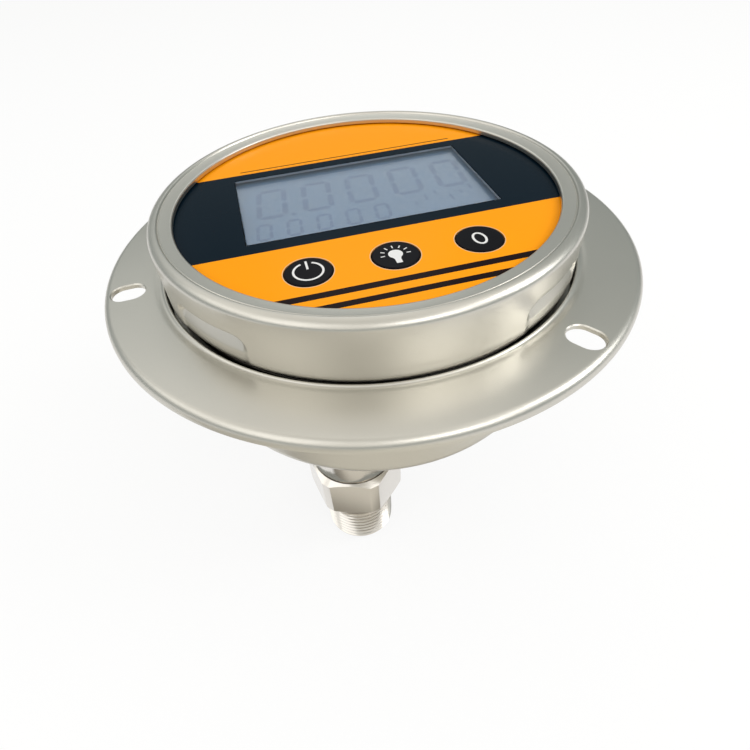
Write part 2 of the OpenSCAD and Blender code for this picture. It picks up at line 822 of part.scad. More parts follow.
// Flat lead that lies on the sensor's board, bends up and bends again into its plug.
module flat_lead() {
    rise_x = lead_run + lead_bend;
    end_z = board_low - plug_h / 2;
    color([0.90, 0.90, 0.88]) translate([stem_x, stem_y + lead_w / 2, 0]) rotate([90, 0, 0])
        linear_extrude(lead_w) {
            span(-lead_start, lead_low, lead_run, lead_low + lead_t);
            intersection() {
                translate([lead_run, lead_low + lead_bend]) difference() {
                    circle(lead_bend);
                    circle(lead_bend - lead_t);
                }
                span(lead_run, lead_low, rise_x + over, lead_low + lead_bend);
            }
            span(rise_x - lead_t, lead_low + lead_bend, rise_x, end_z - lead_bend);
            intersection() {
                translate([rise_x - lead_t + lead_bend, end_z - lead_bend]) difference() {
                    circle(lead_bend);
                    circle(lead_bend - lead_t);
                }
                span(rise_x - lead_t, end_z - lead_bend, rise_x - lead_t + lead_bend, end_z);
            }
            span(rise_x - lead_t + lead_bend, end_z - lead_t, plug_x - stem_x, end_z);
        }
}

bezel_ring();
case();
flange();
case_seal();
front_seal();
face_plate();
front_overlay();
lcd_window();
power_key();
light_key();
zero_key();
power_plunger();
light_plunger();
zero_plunger();
power_switch();
light_switch();
zero_switch();
main_board();
board_screws();
lcd_glass();
lcd_frame();
lcd_backlight();
zebra_strip();
processor_chip();
capacitors();
sensor_plug();
battery_holder();
battery_cells();
battery_springs();
battery_tabs();
holder_screws();
pressure_stem();
hex_connector();
stem_seal();
stem_screws();
sensor_cell();
sensor_oring();
sensor_clamp_ring();
sensor_pins();
sensor_board();
flat_lead();
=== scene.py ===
import math

import bmesh
import bpy
from mathutils import Matrix, Vector


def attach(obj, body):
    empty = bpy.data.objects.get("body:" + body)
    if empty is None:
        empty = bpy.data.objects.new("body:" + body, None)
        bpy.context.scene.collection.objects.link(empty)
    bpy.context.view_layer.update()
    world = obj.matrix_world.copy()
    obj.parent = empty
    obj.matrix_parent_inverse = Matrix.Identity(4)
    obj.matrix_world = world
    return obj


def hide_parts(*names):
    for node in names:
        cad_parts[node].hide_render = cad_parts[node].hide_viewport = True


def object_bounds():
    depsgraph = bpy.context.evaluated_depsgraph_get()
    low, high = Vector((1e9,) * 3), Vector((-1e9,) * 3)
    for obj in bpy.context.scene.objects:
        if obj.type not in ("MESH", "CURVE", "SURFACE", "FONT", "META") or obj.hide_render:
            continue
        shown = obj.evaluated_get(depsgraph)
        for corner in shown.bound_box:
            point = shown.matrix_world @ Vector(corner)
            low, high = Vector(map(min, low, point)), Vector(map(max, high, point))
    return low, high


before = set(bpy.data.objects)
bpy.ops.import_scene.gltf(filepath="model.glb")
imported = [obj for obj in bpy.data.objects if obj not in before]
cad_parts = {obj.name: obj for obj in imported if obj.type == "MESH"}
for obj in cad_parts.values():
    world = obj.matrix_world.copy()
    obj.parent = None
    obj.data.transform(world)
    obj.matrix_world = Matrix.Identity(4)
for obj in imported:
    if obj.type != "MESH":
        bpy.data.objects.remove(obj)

cad_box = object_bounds()
MM = 0.001
scene = bpy.context.scene
scene.view_settings.view_transform = "Standard"


# Studio. A pale floor under the connection's end, six soft boxes, a surround that darkens downwards and a
# card in front. The camera stands where the photographer stood, close to the dial with a wide lens.
def bare_material(name):
    """A material without nodes, its list of nodes and the way to link them."""
    made = bpy.data.materials.new(name)
    made.use_nodes = True
    made.node_tree.nodes.clear()
    return made, made.node_tree.nodes, made.node_tree.links.new


def fade(nodes, low, high, at_low=0, at_high=1):
    """A node that runs from one value to the other while its input goes from low to high."""
    made = nodes.new("ShaderNodeMapRange")
    for socket, value in (("From Min", low), ("From Max", high), ("To Min", at_low), ("To Max", at_high)):
        made.inputs[socket].default_value = value
    return made


def sheet(name, corners, z, paint):
    """A flat sheet of the studio, level at a height in metres."""
    mesh = bpy.data.meshes.new(name)
    mesh.from_pydata([(x, y, z) for x, y in corners], [], [(0, 1, 2, 3)])
    mesh.materials.append(paint)
    made = bpy.data.objects.new(name, mesh)
    scene.collection.objects.link(made)
    return made


# The floor is matt, and glows a little for the camera, in the metal and through the window.
floor_z, floor_reach = cad_box[0].z, 6.0
floor_shade, floor_lift = 0.96, 0.82
floor_paint, nodes, link = bare_material("floor_paint")
out = nodes.new("ShaderNodeOutputMaterial")
mixed = nodes.new("ShaderNodeMixShader")
matt = nodes.new("ShaderNodeBsdfDiffuse")
matt.inputs["Color"].default_value = (floor_shade, floor_shade, floor_shade, 1)
glow = nodes.new("ShaderNodeEmission")
glow.inputs["Color"].default_value = (1, 1, 1, 1)
rays = nodes.new("ShaderNodeLightPath")
seen = nodes.new("ShaderNodeMath")
seen.operation = "MAXIMUM"
seen_twice = nodes.new("ShaderNodeMath")
seen_twice.operation = "MAXIMUM"
lift = nodes.new("ShaderNodeMath")
lift.operation = "MULTIPLY"
lift.inputs[1].default_value = floor_lift
link(rays.outputs["Is Camera Ray"], seen.inputs[0])
link(rays.outputs["Is Glossy Ray"], seen.inputs[1])
link(seen.outputs[0], seen_twice.inputs[0])
link(rays.outputs["Is Transmission Ray"], seen_twice.inputs[1])
link(seen_twice.outputs[0], lift.inputs[0])
link(lift.outputs[0], mixed.inputs[0])
link(matt.outputs[0], mixed.inputs[1])
link(glow.outputs[0], mixed.inputs[2])
link(mixed.outputs[0], out.inputs["Surface"])
floor = sheet("floor", [(x * floor_reach, y * floor_reach) for x, y in ((-1, -1), (1, -1), (1, 1), (-1, 1))],
              floor_z, floor_paint)

# The surround is white for the camera and through the window. In the metal it is graded from below to above,
# leaning a little to the front left.
sky_up = (-0.15, -0.20, 0.97)
room = bpy.data.worlds.new("room")
scene.world = room
room.use_nodes = True
nodes, link = room.node_tree.nodes, room.node_tree.links.new
nodes.clear()
out = nodes.new("ShaderNodeOutputWorld")
mixed = nodes.new("ShaderNodeMixShader")
soft = nodes.new("ShaderNodeBackground")
white = nodes.new("ShaderNodeBackground")
white.inputs["Color"].default_value = (1, 1, 1, 1)
rays = nodes.new("ShaderNodeLightPath")
toward = nodes.new("ShaderNodeTexCoord")
upward = nodes.new("ShaderNodeVectorMath")
upward.operation = "DOT_PRODUCT"
upward.inputs[1].default_value = sky_up
ramp = nodes.new("ShaderNodeValToRGB")
ramp.color_ramp.elements[0].position = 0.47
ramp.color_ramp.elements[0].color = (0.24, 0.27, 0.26, 1)
ramp.color_ramp.elements[1].position = 1.0
ramp.color_ramp.elements[1].color = (0.72, 0.71, 0.67, 1)
for position, colour in ((0.60, (0.38, 0.415, 0.415, 1)), (0.72, (0.37, 0.40, 0.39, 1)),
                         (0.85, (1.10, 1.08, 1.03, 1))):
    ramp.color_ramp.elements.new(position).color = colour
height = fade(nodes, -1, 1)
link(toward.outputs["Generated"], upward.inputs[0])
link(upward.outputs["Value"], height.inputs["Value"])
link(height.outputs["Result"], ramp.inputs[0])
link(ramp.outputs["Color"], soft.inputs["Color"])
seen = nodes.new("ShaderNodeMath")
seen.operation = "MAXIMUM"
link(rays.outputs["Is Camera Ray"], seen.inputs[0])
link(rays.outputs["Is Transmission Ray"], seen.inputs[1])
link(seen.outputs[0], mixed.inputs[0])
link(soft.outputs[0], mixed.inputs[1])
link(white.outputs[0], mixed.inputs[2])
link(mixed.outputs[0], out.inputs["Surface"])

# Place, width, height and power of each soft box, all aimed at the origin.
for name, place, width, tall, power in (
        ("box_left", (-0.55, -0.35, 0.65), 0.5, 0.7, 0.76),
        ("box_right", (0.64, -0.18, 0.46), 0.3, 0.45, 1.65),
        ("box_front", (0.23, -0.58, 0.58), 0.45, 0.35, 1.05),
        ("box_side", (-0.66, 0.17, 0.50), 0.45, 0.35, 0.26),
        ("box_back", (0.12, 0.60, 0.53), 0.3, 0.25, 0.25),
        ("box_back_left", (-0.33, 0.58, 0.50), 0.4, 0.3, 0.12)):
    lamp = bpy.data.lights.new(name, "AREA")
    lamp.shape = "RECTANGLE"
    lamp.size, lamp.size_y, lamp.energy = width, tall, power
    holder = bpy.data.objects.new(name, lamp)
    holder.location = place
    holder.rotation_euler = (-Vector(place)).to_track_quat("-Z", "Y").to_euler()
    scene.collection.objects.link(holder)

# The table in front, seen in the metal only, as a card with painted shade: a painted shadow darkest near the
# connection, and painted shade to the left. To the right it thins out, and the pale floor shows in the metal.
card_left, card_right, card_front, card_back, card_lift = -0.40, 0.26, -0.90, -0.04, 0.0005
left_shade, right_gap = 0.8, 0.85
card_paint, nodes, link = bare_material("card_paint")
out = nodes.new("ShaderNodeOutputMaterial")
matt = nodes.new("ShaderNodeBsdfDiffuse")
spot = nodes.new("ShaderNodeTexCoord")
axes = nodes.new("ShaderNodeSeparateXYZ")
away = fade(nodes, -0.040, -0.080)
# Painted shadow: the card is near-black close to the connection and greys out further in front.
painted_shadow_ramp = nodes.new("ShaderNodeValToRGB")
painted_shadow_ramp.color_ramp.elements[0].color = (0.22, 0.205, 0.18, 1)
painted_shadow_ramp.color_ramp.elements[1].color = (0.80, 0.77, 0.71, 1)
painted_shadow_ramp.color_ramp.elements.new(0.25).color = (0.40, 0.375, 0.335, 1)
painted_shadow_ramp.color_ramp.elements.new(0.42).color = (0.78, 0.745, 0.68, 1)
link(spot.outputs["Object"], axes.inputs[0])
link(axes.outputs["Y"], away.inputs["Value"])
link(away.outputs["Result"], painted_shadow_ramp.inputs[0])
# Painted shade: the card is darker to the left.
dim = fade(nodes, -0.05, -0.12, 1, left_shade)
dimmed = nodes.new("ShaderNodeVectorMath")
dimmed.operation = "SCALE"
thin = fade(nodes, 0.02, 0.09, 0, right_gap)
clear = nodes.new("ShaderNodeBsdfTransparent")
blend = nodes.new("ShaderNodeMixShader")
link(axes.outputs["X"], dim.inputs["Value"])
link(axes.outputs["X"], thin.inputs["Value"])
link(painted_shadow_ramp.outputs["Color"], dimmed.inputs[0])
link(dim.outputs["Result"], dimmed.inputs["Scale"])
link(dimmed.outputs["Vector"], matt.inputs["Color"])
link(thin.outputs["Result"], blend.inputs[0])
link(matt.outputs[0], blend.inputs[1])
link(clear.outputs[0], blend.inputs[2])
link(blend.outputs[0], out.inputs["Surface"])
card = sheet("front_card", ((card_left, card_front), (card_right, card_front), (card_right, card_back),
                            (card_left, card_back)), floor_z + card_lift, card_paint)
card.visible_camera = card.visible_shadow = card.visible_diffuse = False

# The camera's place in mm and the directions of its picture's axes, as fitted to the photographed outlines.
lens_place = Vector((-24.425, -112.111, 68.897)) * MM
lens_right = Vector((0.968439, -0.241696, -0.060895))
lens_up = Vector((0.222363, 0.727417, 0.649168))
lens_back = lens_right.cross(lens_up)
lens = bpy.data.cameras.new("photo_view")
lens.sensor_width = 36
lens.lens = 23.671
lens.shift_x, lens.shift_y = 0.0146, 0.0514
lens.clip_start = 0.005
eye = bpy.data.objects.new("photo_view", lens)
lens_turn = Matrix((lens_right, lens_up, lens_back)).transposed().to_4x4()
eye.matrix_world = Matrix.Translation(lens_place) @ lens_turn
scene.collection.objects.link(eye)
scene.camera = eye


# Case. A deep cup pressed from stainless sheet, with a bayonet groove behind its rim.
# It is bead-blasted to an even satin, so the light spreads on it and a fine speckle stays.
def finish(name, colour, rough, metal=0.0, mottle=0.04, patch=60.0, grain=2500.0, swing=0.05,
           relief=0.15, depth=0.02, grow=(1, 1, 1), fixed={}):
    """Colour in soft patches, a grain in the gloss and a fine relief, all on the piece's own coordinates."""
    made = bpy.data.materials.new(name)
    made.use_nodes = True
    nodes, link = made.node_tree.nodes, made.node_tree.links.new
    skin = nodes["Principled BSDF"]
    place = nodes.new("ShaderNodeTexCoord")
    stretch = nodes.new("ShaderNodeMapping")
    stretch.inputs["Scale"].default_value = grow
    link(place.outputs["Object"], stretch.inputs["Vector"])
    clouds = []
    for scale, detail in ((patch, 3), (grain, 2)):
        cloud = nodes.new("ShaderNodeTexNoise")
        cloud.inputs["Scale"].default_value = scale
        cloud.inputs["Detail"].default_value = detail
        link(stretch.outputs[0], cloud.inputs["Vector"])
        clouds.append(cloud.outputs["Fac"])
    blend = nodes.new("ShaderNodeMix")
    blend.data_type = "RGBA"
    blend.inputs["A"].default_value = [c * (1 - mottle) for c in colour] + [1]
    blend.inputs["B"].default_value = [min(1, c * (1 + mottle)) for c in colour] + [1]
    link(clouds[0], blend.inputs["Factor"])
    link(blend.outputs["Result"], skin.inputs["Base Color"])
    gloss = fade(nodes, 0, 1, rough - swing, rough + swing)
    link(clouds[1], gloss.inputs["Value"])
    link(gloss.outputs["Result"], skin.inputs["Roughness"])
    bump = nodes.new("ShaderNodeBump")
    bump.inputs["Strength"].default_value = relief
    bump.inputs["Distance"].default_value = depth * MM
    link(clouds[1], bump.inputs["Height"])
    link(bump.outputs["Normal"], skin.inputs["Normal"])
    skin.inputs["Metallic"].default_value = metal
    for socket, value in fixed.items():
        skin.inputs[socket].default_value = value
    return made


def coat(node, material):
    """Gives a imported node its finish."""
    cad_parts[node].data.materials.clear()
    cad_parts[node].data.materials.append(material)


satin_steel = finish("satin_steel", (0.64, 0.62, 0.566), 0.34, metal=1, mottle=0.03, patch=45, grain=3200,
                     swing=0.06, relief=0.35, depth=0.03)

# The case's rim, in the gap under the bezel, is painted dark as the shade in that crevice. The painted shade
# starts at the lower of these two heights and covers all above the upper one.
painted_shade_low, painted_shade_high = -3.5, -2.2
case_steel = satin_steel.copy()
case_steel.name = "case_steel"
nodes, link = case_steel.node_tree.nodes, case_steel.node_tree.links.new
skin = nodes["Principled BSDF"]
unshaded_colour = skin.inputs["Base Color"].links[0].from_socket
place = nodes.new("ShaderNodeTexCoord")
axes = nodes.new("ShaderNodeSeparateXYZ")
gap = fade(nodes, painted_shade_low * MM, painted_shade_high * MM)
# Painted shade: the rim's colour is mixed to near-black in the gap under the bezel.
painted_crevice_shade = nodes.new("ShaderNodeMix")
painted_crevice_shade.data_type = "RGBA"
painted_crevice_shade.inputs["B"].default_value = (0.035, 0.032, 0.028, 1)
link(place.outputs["Object"], axes.inputs[0])
link(axes.outputs["Z"], gap.inputs["Value"])
link(gap.outputs["Result"], painted_crevice_shade.inputs["Factor"])
link(unshaded_colour, painted_crevice_shade.inputs["A"])
link(painted_crevice_shade.outputs["Result"], skin.inputs["Base Color"])
coat("case", case_steel)


# Flange. Pressed from 1.2 mm sheet: its edge is rolled back to the panel, a bead runs round the
# inside, and a collar sits on the case. Three radial slots are stamped through it.
def bend(x, z, r, start, end, parts):
    """Points on an arc of an outline, in mm, from one angle to another."""
    return [(x + r * math.cos(math.radians(start + (end - start) * i / parts)),
             z + r * math.sin(math.radians(start + (end - start) * i / parts))) for i in range(parts + 1)]


def stadium(length, width):
    """Flat outline, round at both ends, along x."""
    reach = (length - width) / 2
    return bend(reach, 0, width / 2, -90, 90, 24) + bend(-reach, 0, width / 2, 90, 270, 24)


def piece(name, shape, *materials, crease=30):
    """Makes the mesh an object whose faces are smooth up to its creases."""
    mesh = bpy.data.meshes.new(name)
    shape.to_mesh(mesh)
    shape.free()
    mesh.shade_smooth()
    mesh.set_sharp_from_angle(angle=math.radians(crease))
    for material in materials:
        mesh.materials.append(material)
    made = bpy.data.objects.new(name, mesh)
    scene.collection.objects.link(made)
    return made


def spun(outline, steps, at=(0, 0)):
    """Spins a half outline in mm, anticlockwise from above, round an axis at a place in mm."""
    shape = bmesh.new()
    rings = []
    for r, z in outline:
        count = steps if r > 0 else 1
        rings.append([shape.verts.new(((at[0] + r * math.cos(math.tau * k / count)) * MM,
                                       (at[1] + r * math.sin(math.tau * k / count)) * MM, z * MM))
                      for k in range(count)])
    pairs = list(zip(rings, rings[1:]))
    if outline[0][0] > 0:
        pairs.append((rings[-1], rings[0]))
    for low, high in pairs:
        for k in range(steps):
            n = (k + 1) % steps
            ring = [low[k % len(low)], low[n % len(low)], high[n % len(high)], high[k % len(high)]]
            shape.faces.new([v for i, v in enumerate(ring) if v not in ring[:i]])
    return shape


def stand_for(made, body, slot, *nodes):
    """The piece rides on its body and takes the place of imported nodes."""
    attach(made, body)
    if nodes:
        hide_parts(*nodes)


def tree_on(made, name):
    """A geometry tree on a piece: the tree, its input and output nodes and a way to add named sizes."""
    tree = bpy.data.node_groups.new(name, "GeometryNodeTree")
    tree.interface.new_socket("Geometry", in_out="INPUT", socket_type="NodeSocketGeometry")
    tree.interface.new_socket("Geometry", in_out="OUTPUT", socket_type="NodeSocketGeometry")
    rule = made.modifiers.new(name, "NODES")
    rule.node_group = tree
    start, end = tree.nodes.new("NodeGroupInput"), tree.nodes.new("NodeGroupOutput")

    def size(label, value, kind="NodeSocketFloat"):
        socket = tree.interface.new_socket(label, in_out="INPUT", socket_type=kind)
        rule[socket.identifier] = value
        return start.outputs[label]
    return tree, start, end, size


def settle(made, tree, end, last, material):
    """Ends the tree, turns its result into the piece's plain mesh and takes the modifier off."""
    add, link = tree.nodes.new, tree.links.new
    real = add("GeometryNodeRealizeInstances")
    skin = add("GeometryNodeSetMaterial")
    skin.inputs["Material"].default_value = material
    link(last, real.inputs[0])
    link(real.outputs[0], skin.inputs["Geometry"])
    link(skin.outputs[0], end.inputs[0])
    made.update_tag()
    bpy.context.view_layer.update()
    mesh = bpy.data.meshes.new_from_object(made.evaluated_get(bpy.context.evaluated_depsgraph_get()))
    made.modifiers.clear()
    made.data = mesh
    return mesh


flange_r = 65.0
collar_outside = bend(51.3, -3.6, 0.6, -90, 0, 6) + bend(52.3, 1.0, 0.4, 180, 90, 4)
rolled_rim = (bend(63.0, 0.6, 0.8, 90, 0, 8) + [(63.8, 0.12), (63.92, 0), (64.85, 0), (flange_r, 0.15)]
              + bend(63.0, 0.6, 2.0, 0, 90, 14))
hollow = [(53.3, 2.6), (52.9, 2.58), (52.5, 2.53), (52.15, 2.46), (51.85, 2.41), (51.6, 2.4), (51.35, 2.44),
          (51.15, 2.52)]
bead = bend(50.85, 2.2, 0.45, 60, 180, 12)
collar_inside = bend(50.3, -2.6, 0.4, 0, -90, 4) + [(48.8, -3.0), (48.72, -3.1), (48.72, -4.1), (48.8, -4.2)]
flange = piece("flange_pressing", spun(collar_outside + rolled_rim + hollow + bead + collar_inside, 320),
               satin_steel)

slot_w, slot_l, slot_orbit, first_slot = 6.0, 8.0, 59, 63
# Heights on the punch, each with what it is wider there, so that the slots' edges come out rounded.
levels = [(-2, 0.35), (1.25, 0.35), (1.5, 0), (2.35, 0), (2.7, 0.35), (6, 0.35)]
cutter_shape = bmesh.new()
loops = [[cutter_shape.verts.new((x * MM, y * MM, z * MM))
          for x, y in stadium(slot_l + 2 * wider, slot_w + 2 * wider)] for z, wider in levels]
for low, high in zip(loops, loops[1:]):
    for k in range(len(low)):
        cutter_shape.faces.new((low[k], low[(k + 1) % len(low)], high[(k + 1) % len(low)], high[k]))
cutter_shape.faces.new(loops[0][::-1])
cutter_shape.faces.new(loops[-1])
cutter = piece("slot_punch", cutter_shape, satin_steel)
tree, start, end, size = tree_on(flange, "stamped_slots")
add, link = tree.nodes.new, tree.links.new
count = size("Slots", 3, "NodeSocketInt")
orbit = size("Orbit", slot_orbit * MM)
turn = size("First slot", math.radians(first_slot))
spots = add("GeometryNodeMeshCircle")
link(count, spots.inputs["Vertices"])
link(orbit, spots.inputs["Radius"])
step = add("ShaderNodeMath")
step.operation = "DIVIDE"
step.inputs[0].default_value = math.tau
link(count, step.inputs[1])
index = add("GeometryNodeInputIndex")
aim = add("ShaderNodeMath")
aim.operation = "MULTIPLY"
link(index.outputs[0], aim.inputs[0])
link(step.outputs[0], aim.inputs[1])
aim_vector = add("ShaderNodeCombineXYZ")
link(aim.outputs[0], aim_vector.inputs["Z"])
punch = add("GeometryNodeObjectInfo")
punch.inputs["Object"].default_value = cutter
punches = add("GeometryNodeInstanceOnPoints")
link(spots.outputs["Mesh"], punches.inputs["Points"])
link(punch.outputs["Geometry"], punches.inputs["Instance"])
link(aim_vector.outputs[0], punches.inputs["Rotation"])
turned = add("GeometryNodeTransform")
turn_vector = add("ShaderNodeCombineXYZ")
link(turn, turn_vector.inputs["Z"])
link(punches.outputs[0], turned.inputs["Geometry"])
link(turn_vector.outputs[0], turned.inputs["Rotation"])
stamp = add("GeometryNodeMeshBoolean")
stamp.operation, stamp.solver = "DIFFERENCE", "EXACT"
link(start.outputs["Geometry"], stamp.inputs["Mesh 1"])
link(turned.outputs[0], stamp.inputs["Mesh 2"])
settle(flange, tree, end, stamp.outputs["Mesh"], satin_steel).set_sharp_from_angle(angle=math.radians(30))
bpy.data.objects.remove(cutter)
stand_for(flange, "gauge", "satin_steel", "flange")


# Seals. Flat rubber rings under and over the face plate's edge and under the connection's plate,
# punched from sheet, with a dull skin.
seal_rubber = finish("seal_rubber", (0.018, 0.018, 0.019), 0.62, mottle=0.3, patch=300, grain=3500,
                     swing=0.08, relief=0.25, depth=0.05)
for node in ("case_seal", "front_seal", "stem_seal", "sensor_oring"):
    coat(node, seal_rubber)


# Pressure connection. Two pieces turned from stainless bar. The first has the sensor's cup, an eared plate
# and the neck, and goes through the case from inside. The second is screwed up into the neck: a 25 mm
# hexagon with turned corners, a 20 mm pipe thread and a spigot round the port.
stem_orbit, stem_turn = 30, 243
stem_at = (stem_orbit * math.cos(math.radians(stem_turn)), stem_orbit * math.sin(math.radians(stem_turn)))
seat_z, cup_z, socket_z, neck_low = -30.2, -8.5, -24.0, -46.1
hex_high, hex_low, thread_low, tip = -46.6, -61.6, -81.6, -84.6
neck_r, hex_flat_r, bar_r, thread_r, spigot_r, port_r = 11.8, 12.5, 13.75, 10.478, 3, 1.5
joint_r, stub_r, stub_h = 11.2, 8.0, 9.0
plate_r, cup_r, bore_r = 13.4, 12.3, 9.75
ear_l, ear_w, ear_screw_at = 48, 12, 18
thread_pitch, run_out = 1.814, 1.9
turned_steel = finish("turned_steel", (0.74, 0.71, 0.665), 0.16, metal=1, mottle=0.02, patch=80, grain=900,
                      swing=0.04, relief=0.12, depth=0.02, grow=(1, 1, 9))


def prism(outline, z_low, z_high, at=(0, 0), turn=0.0, shape=None):
    """A flat outline in mm, anticlockwise, as a solid between two heights, turned about its place."""
    shape = shape or bmesh.new()
    c, s = math.cos(math.radians(turn)), math.sin(math.radians(turn))
    low, high = [[shape.verts.new(((at[0] + x * c - y * s) * MM, (at[1] + x * s + y * c) * MM, z * MM))
                  for x, y in outline] for z in (z_low, z_high)]
    for k in range(len(outline)):
        n = (k + 1) % len(outline)
        shape.faces.new((low[k], low[n], high[n], high[k]))
    shape.faces.new(low[::-1])
    shape.faces.new(high)
    return shape


def circle(r, parts, y=0):
    """Flat outline of a circle, whose centre may lie along y."""
    return bend(0, y, r, 0, 360 - 360 / parts, parts - 1)


def cut_by(made, *tools, way="DIFFERENCE", crease=30):
    """Cuts, joins or trims a piece with other solids and takes these away."""
    for tool in tools:
        step = made.modifiers.new("tool", "BOOLEAN")
        step.operation, step.solver, step.object = way, "EXACT", tool
        tool.hide_render = True
    mesh = bpy.data.meshes.new_from_object(made.evaluated_get(bpy.context.evaluated_depsgraph_get()))
    made.modifiers.clear()
    made.data = mesh
    mesh.set_sharp_from_angle(angle=math.radians(crease))
    for tool in tools:
        bpy.data.objects.remove(tool)


corner_r = 2 * hex_flat_r / math.sqrt(3)
corners = [(corner_r * math.cos(math.tau * k / 6), corner_r * math.sin(math.tau * k / 6)) for k in range(6)]
hexagon = piece("hexagon", prism(corners, hex_low, hex_high, stem_at, 222), turned_steel)
face_r = hex_flat_r - 0.6
chamfer_h = (bar_r - face_r) * math.tan(math.radians(30))
cut_by(hexagon, piece("turned_corners", spun([
    (0, hex_low), (face_r, hex_low), (bar_r, hex_low + chamfer_h), (bar_r, hex_high - chamfer_h),
    (face_r, hex_high), (0, hex_high)], 144, stem_at)), way="INTERSECT")
connector = piece("hexagon_connector", spun([
    (port_r, tip + 0.3), (port_r + 0.3, tip), (spigot_r - 0.3, tip), (spigot_r, tip + 0.3),
    (spigot_r, thread_low), (thread_r - 1.2, thread_low), (thread_r, thread_low + 1.2),
    (thread_r, hex_low - 1.95), (thread_r - 1.3, hex_low - 1.3), (thread_r - 1.3, hex_low + 0.6),
    (joint_r, hex_low + 1), (joint_r, neck_low - 0.02), (stub_r, neck_low - 0.02),
    (stub_r, neck_low + stub_h - 0.3), (stub_r - 0.3, neck_low + stub_h), (port_r, neck_low + stub_h)],
    128, stem_at), turned_steel)
cut_by(connector, hexagon, way="UNION")

# The thread is cut by a four-sided bit along a helix, which starts past the end and leaves in the relief.
tree, start, end, size = tree_on(connector, "screw_cutting")
add, link = tree.nodes.new, tree.links.new
pitch = size("Pitch", thread_pitch * MM)
groove_r = size("Crest radius", thread_r * MM)
run = size("Run", (hex_low - 1.1 - thread_low + run_out) * MM)
turns = add("ShaderNodeMath")
turns.operation = "DIVIDE"
link(run, turns.inputs[0])
link(pitch, turns.inputs[1])
path = add("GeometryNodeCurveSpiral")
path.inputs["Resolution"].default_value = 72
link(turns.outputs[0], path.inputs["Rotations"])
link(groove_r, path.inputs["Start Radius"])
link(groove_r, path.inputs["End Radius"])
link(run, path.inputs["Height"])
upright = add("GeometryNodeSetCurveNormal")
upright.mode = "Z_UP"
link(path.outputs[0], upright.inputs[0])
bit = add("GeometryNodeCurvePrimitiveQuadrilateral")
bit.mode = "POINTS"
deep, rise, root, crest = 1.162, 0.3, 0.2 * thread_pitch / 2, 0.76 * thread_pitch / 2
flare = rise * math.tan(math.radians(27.5))
for k, (x, y) in enumerate(((-rise, -crest - flare), (deep, -root), (deep, root), (-rise, crest + flare))):
    bit.inputs["Point %d" % (k + 1)].default_value = (x * MM, y * MM, 0)
groove = add("GeometryNodeCurveToMesh")
groove.inputs["Fill Caps"].default_value = True
link(upright.outputs[0], groove.inputs["Curve"])
link(bit.outputs[0], groove.inputs["Profile Curve"])
set_down = add("GeometryNodeTransform")
set_down.inputs["Translation"].default_value = (stem_at[0] * MM, stem_at[1] * MM,
                                                (thread_low - run_out) * MM)
link(groove.outputs[0], set_down.inputs["Geometry"])
lathe = add("GeometryNodeMeshBoolean")
lathe.operation, lathe.solver = "DIFFERENCE", "EXACT"
link(start.outputs["Geometry"], lathe.inputs["Mesh 1"])
link(set_down.outputs[0], lathe.inputs["Mesh 2"])
settle(connector, tree, end, lathe.outputs["Mesh"], turned_steel).set_sharp_from_angle(angle=math.radians(25))
stand_for(connector, "gauge", "turned_steel", "hex_connector")

ears = piece("ears", prism(stadium(ear_l, ear_w), seat_z + 0.05, seat_z + 2.95, stem_at, stem_turn + 90),
             turned_steel)
stem = piece("neck_and_cup", spun(
    [(stub_r + 0.07, neck_low), (neck_r - 0.3, neck_low)] + bend(neck_r - 0.3, neck_low + 0.3, 0.3, -80, 0, 4)
    + [(neck_r, seat_z), (plate_r - 0.2, seat_z), (plate_r, seat_z + 0.2), (plate_r, seat_z + 2.8),
       (plate_r - 0.2, seat_z + 3), (cup_r, seat_z + 3), (cup_r, cup_z - 0.3), (cup_r - 0.3, cup_z),
       (bore_r + 0.3, cup_z), (bore_r, cup_z - 0.3), (bore_r, socket_z), (port_r, socket_z),
       (port_r, neck_low + stub_h + 0.1), (stub_r + 0.07, neck_low + stub_h + 0.1)],
    128, stem_at), turned_steel)
cut_by(stem, ears, way="UNION")
ear_holes = [piece("ear_hole", prism(circle(2.0, 24, ear_screw_at * side), seat_z - 0.5, seat_z + 2.5,
                                     stem_at, stem_turn), turned_steel) for side in (-1, 1)]
cut_by(stem, *ear_holes, crease=25)
stand_for(stem, "gauge", "turned_steel", "pressure_stem")


# Screws. Pan heads with one slot, zinc plated: two hold the connection from the rear, four hold the
# board to the face plate and two hold the battery box.
plated_screw = finish("plated_screw", (0.50, 0.51, 0.52), 0.27, metal=1, mottle=0.05, patch=400, grain=1800,
                      swing=0.07, relief=0.2, depth=0.02)


def screw(r, length, head_r, head_h, slot_w, slot_h):
    """One screw pointing up from under its head, whose seat is at z = 0."""
    head = ([(0, -head_h), (head_r * 0.55, -head_h + 0.03)]
            + bend(head_r - 0.55 * head_h, -0.45 * head_h, 0.55 * head_h, -75, 0, 6)
            + [(head_r, -0.1), (head_r - 0.1, 0)])
    shank = [(r, 0), (r, length - 0.3), (r - 0.3, length), (0, length)]
    made = piece("screw", spun(head + shank, 48), plated_screw)
    blade = prism([(-head_r - 1, -slot_w / 2), (head_r + 1, -slot_w / 2), (head_r + 1, slot_w / 2),
                   (-head_r - 1, slot_w / 2)], -head_h - 1, -head_h + slot_h)
    cut_by(made, piece("slot_blade", blade))
    return made


